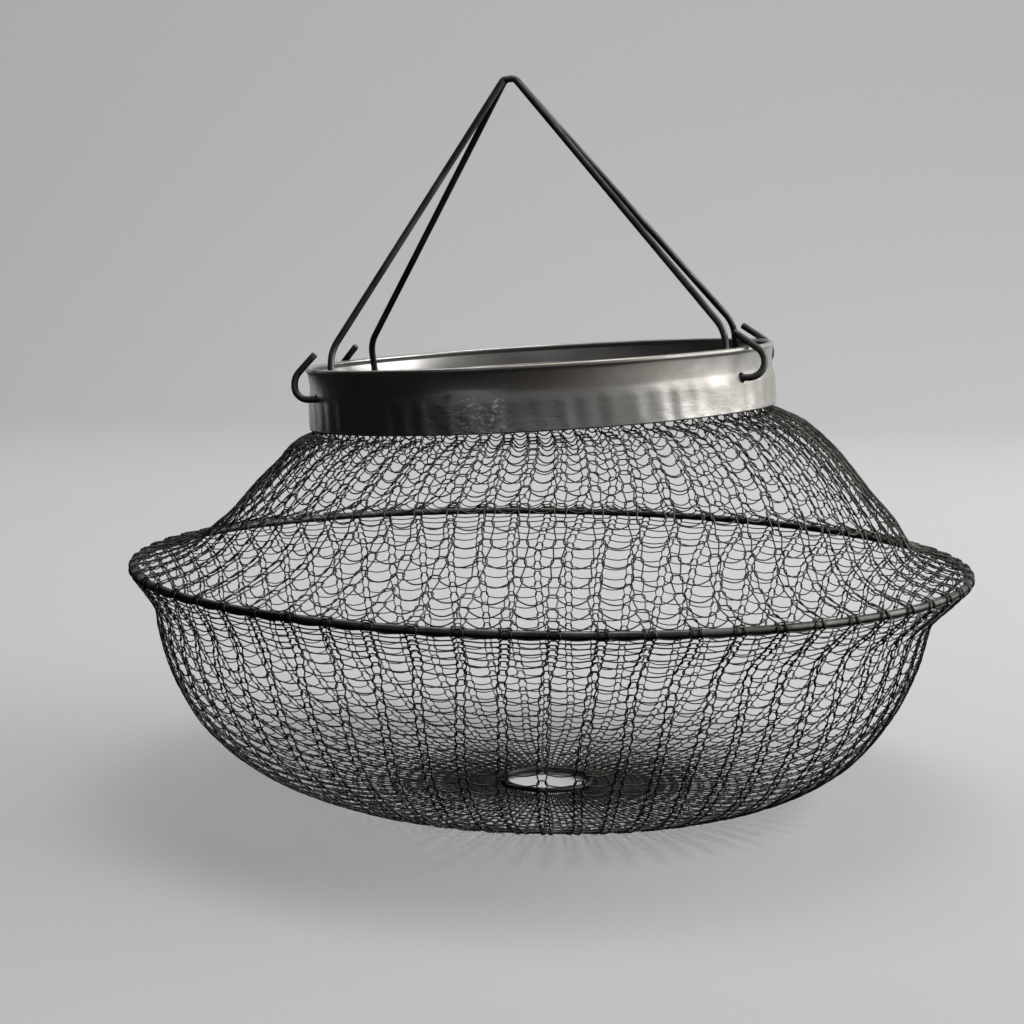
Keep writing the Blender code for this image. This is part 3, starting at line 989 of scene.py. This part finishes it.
def make_net():
    sheet, above, total = net_surface()
    tree = knit_tree()
    material = knit_metal()
    zones = (
        ("shoulder", 0, above - 1, SHOULDER_LOOP_WIDTH),
        ("bowl", above, total - 1, BOWL_LOOP_WIDTH),
    )
    knit(
        "knit_over_hoop", tree, sheet, material, above - 1, 1, total, HOOP_STITCH_POINTS,
        SHOULDER_LOOP_WIDTH,
    )
    for zone, start, end, width in zones:
        count = end - start
        parts = math.ceil(count / PIECE_COURSES)
        for part in range(parts):
            first = start + count * part // parts
            stop = start + count * (part + 1) // parts
            name = f"knit_{zone}_{part + 1}"
            knit(name, tree, sheet, material, first, stop - first, total, STITCH_POINTS, width)


# Wires

def make_rings():
    wire = bent_wire("hoop_steel", (0.06, 0.058, 0.055), (0.16, 0.155, 0.148))

    def make_ring(name, node, radius, height, segments, gauge, sides):
        circle = level(radius, height)
        path = [circle(math.tau * k / segments) for k in range(segments)]
        ring = wire_mesh(name, path, gauge / 2, sides, Matrix(), closed=True)
        new_piece(name, ring, wire, "basket", [node])

    make_ring(
        "hoop_wire", "hoop", HOOP_RADIUS, HOOP_HEIGHT, HOOP_SEGMENTS, HOOP_WIRE, HOOP_SIDES
    )
    make_ring(
        "gathering_ring", "base_ring", BASE_RING_RADIUS, BASE_RING_HEIGHT, BASE_RING_SEGMENTS,
        BASE_RING_WIRE, BASE_RING_SIDES,
    )


def rounded(corners):
    """Points along straight runs through (x, z, bend radius) corners, with each bend an arc."""
    points = [Vector(corners[0][:2])]
    for before, here, after in zip(corners, corners[1:], corners[2:]):
        corner = Vector(here[:2])
        back = (Vector(before[:2]) - corner).normalized()
        ahead = (Vector(after[:2]) - corner).normalized()
        half = back.angle(ahead) / 2
        reach = here[2] / math.tan(half)
        centre = corner + (back + ahead).normalized() * here[2] / math.sin(half)
        start = corner + back * reach - centre
        turn = start.angle_signed(corner + ahead * reach - centre)
        for step in range(BEND_STEPS + 1):
            points.append(centre + Matrix.Rotation(-turn * step / BEND_STEPS, 2) @ start)
    points.append(Vector(corners[-1][:2]))
    return points


def handle_path(flat):
    """Middle of one handle's wire in its own plane: x along the hinge axis, z towards the apex."""
    mouth = hole_mouth()
    leg = mouth - LEG_INSET
    hook = mouth + HOOK_REACH

    def end(side, tip_return):
        return [
            (side * (hook - tip_return), HOOK_TIP_RISE, 0),
            (side * hook, HOOK_SHOULDER, HOOK_SHOULDER_BEND),
            (side * hook, 0, HOOK_BEND),
            (side * leg, 0, LEG_FOOT_BEND),
            (side * leg, LEG_STRAIGHT, LEG_KNEE_BEND),
        ]

    right_slope = math.atan2(leg + APEX_SHIFT, HANDLE_REACH - LEG_STRAIGHT)
    left_slope = math.atan2(leg - APEX_SHIFT, HANDLE_REACH - LEG_STRAIGHT)
    half = (right_slope + left_slope) / 2
    tilt = (right_slope - left_slope) / 2
    apex = HANDLE_REACH + APEX_BEND * (math.cos(tilt) / math.sin(half) - 1)
    top = [(-APEX_SHIFT, apex, APEX_BEND)]
    if flat:
        height = HANDLE_REACH - FLAT_APEX_DROP
        top = [
            (-APEX_SHIFT + side * (apex - height) * math.tan(slope), height, FLAT_APEX_BEND)
            for side, slope in ((1, right_slope), (-1, left_slope))
        ]
    path = []
    bends = rounded(end(1, RIGHT_TIP_RETURN) + top + end(-1, LEFT_TIP_RETURN)[::-1])
    for here, there in zip(bends, bends[1:]):
        steps = max(1, math.ceil((there - here).length / RUN_STEP))
        path += [here.lerp(there, step / steps) for step in range(steps)]
    return path + [bends[-1]]


def make_handles():
    wire = bent_wire("handle_steel", (0.05, 0.05, 0.048), (0.13, 0.13, 0.126))
    apex_gap = HANDLE_WIRE / 2 + CLEARANCE / 2
    lean = math.asin((HINGE_OFFSET - apex_gap) / HANDLE_REACH)
    for name, side in (("front_handle", -1), ("back_handle", 1)):
        path = [(point.x, 0, point.y) for point in handle_path(side < 0)]
        place = (
            collar_frame
            @ Matrix.Translation((0, side * HINGE_OFFSET, hinge_height()))
            @ Matrix.Rotation(side * lean, 4, "X")
        )
        mesh = wire_mesh(f"{name}_wire", path, HANDLE_WIRE / 2, HANDLE_SIDES, place)
        new_piece(f"{name}_wire", mesh, wire, name, [name])


# Studio

CAMERA_PLACE = (0.0993, -0.7601, 0.1965)
CAMERA_TURN = math.radians(8.5)
CAMERA_PITCH = math.radians(7.112)
CAMERA_ROLL = 0.012
LENS = 74.95
SENSOR_WIDTH = 36
FARTHEST_SEEN = 20


def make_camera():
    data = bpy.data.cameras.new("camera")
    data.lens = LENS
    data.sensor_width = SENSOR_WIDTH
    data.clip_end = FARTHEST_SEEN
    camera = add_object("camera", data)
    camera.matrix_world = (
        Matrix.Translation(CAMERA_PLACE)
        @ Matrix.Rotation(CAMERA_TURN, 4, "Z")
        @ Matrix.Rotation(math.pi / 2 - CAMERA_PITCH, 4, "X")
        @ Matrix.Rotation(CAMERA_ROLL, 4, "Z")
    )
    bpy.context.scene.camera = camera


def aim(obj, place, target):
    obj.location = place
    obj.rotation_euler = (Vector(target) - Vector(place)).to_track_quat("-Z", "Y").to_euler()


def add_light(name, size, power, place, target, colour=(1, 1, 1)):
    data = bpy.data.lights.new(name, "AREA")
    data.shape = "RECTANGLE"
    data.size, data.size_y = size
    data.energy = power
    data.color = colour
    aim(add_object(name, data), place, target)


def dull_paint(name, colour):
    material = bpy.data.materials.new(name)
    material.use_nodes = True
    shader = material.node_tree.nodes["Principled BSDF"]
    shader.inputs["Base Color"].default_value = (*colour, 1)
    shader.inputs["Roughness"].default_value = 0.9
    shader.inputs["Specular IOR Level"].default_value = 0.1
    return material


def dark_card(name, size, place, target):
    """A black card that only the bright metal reflects, as the dark side of a room."""
    mesh = bpy.data.meshes.new(name)
    wide, tall = size[0] / 2, size[1] / 2
    corners = [(-wide, -tall, 0), (wide, -tall, 0), (wide, tall, 0), (-wide, tall, 0)]
    mesh.from_pydata(corners, [], [(0, 1, 2, 3)])
    mesh.materials.append(dull_paint("black_card", (0.01, 0.01, 0.01)))
    card = add_object(name, mesh)
    aim(card, place, target)
    card.visible_camera = False
    card.visible_shadow = False
    card.visible_diffuse = False


ROOM_LIGHT = (0.2, 0.205, 0.212)
PAPER_AFAR = (0.4, 0.4, 0.405)
PAPER_FADE = (1.3, 3.0)  # from the basket, where the evenness begins and where it is full
SWEEP_FRONT = -9
SWEEP_REACH = 1.6  # from the basket's middle to the start of the cove
SWEEP_SIDE = 9
WALL_HEIGHT = 3
COVE = 0.6
COVE_STEPS = 12


def sweep_paper():
    """Pale paper, which looks evenly lit away from the basket, out of the lamps' reach."""
    material = dull_paint("pale_paper", (0.62, 0.62, 0.625))
    graph = Graph(material.node_tree)
    x, y, z = graph.apart(graph.add("ShaderNodeTexCoord", output="Object"))
    away = graph.maths("SQRT", x * x + y * y + z * z).between(*PAPER_FADE)
    in_sight = graph.add("ShaderNodeLightPath")
    paper = Value(graph, material.node_tree.nodes["Principled BSDF"].outputs["BSDF"])
    even = graph.add("ShaderNodeEmission", sockets={"Color": (*PAPER_AFAR, 1)})
    seen = graph.add("ShaderNodeMixShader", sockets={0: away * in_sight, 1: paper, 2: even})
    graph.feed(seen, material.node_tree.nodes["Material Output"], "Surface")
    return material


def make_studio():
    """A pale sweep: floor, cove and wall in one sheet, lit softly from the right."""
    section = [(SWEEP_FRONT, 0), (SWEEP_REACH, 0)]
    for step in range(1, COVE_STEPS + 1):
        turn = math.radians(90) * step / COVE_STEPS
        section.append((SWEEP_REACH + COVE * math.sin(turn), COVE * (1 - math.cos(turn))))
    section.append((SWEEP_REACH + COVE, WALL_HEIGHT))
    mesh = bpy.data.meshes.new("sweep")
    spots = [(x, y, z) for y, z in section for x in (-SWEEP_SIDE, SWEEP_SIDE)]
    faces = [(2 * k, 2 * k + 1, 2 * k + 3, 2 * k + 2) for k in range(len(section) - 1)]
    mesh.from_pydata(spots, [], faces)
    mesh.transform(Matrix.Rotation(CAMERA_TURN, 4, "Z"))
    mesh.materials.append(sweep_paper())
    mesh.polygons.foreach_set("use_smooth", [True] * len(mesh.polygons))
    sweep = add_object("sweep", mesh)

    basket = (0, 0, 0.1)
    add_light(
        "window", size=(2.9, 2.1), power=62, place=(2.2, 0.49, 1.16), target=basket,
        colour=(1, 0.985, 0.96),
    )
    add_light(
        "back_wash", size=(1.6, 0.8), power=13, place=(-0.3, 0.6, 1.9), target=(0, 1.4, 0.5)
    )
    add_light("top", size=(1.0, 1.0), power=6, place=(0.3, 0.1, 1.7), target=basket)
    dark_card("left_card", size=(2.6, 1.5), place=(-1.3, -0.15, 0.6), target=basket)
    dark_card("front_card", size=(2.9, 3.3), place=(-1.05, -0.85, 0.005), target=(-1.05, -0.85, 1))

    world = bpy.data.worlds.new("room")
    world.use_nodes = True
    bpy.context.scene.world = world
    graph = Graph(world.node_tree)
    in_sight = graph.add("ShaderNodeLightPath")
    room = graph.mix(in_sight, ROOM_LIGHT, PAPER_AFAR)
    graph.feed(room, world.node_tree.nodes["Background"], "Color")
    bpy.context.scene.view_settings.view_transform = "Standard"


make_collar()
make_net()
make_rings()
make_handles()
make_camera()
make_studio()
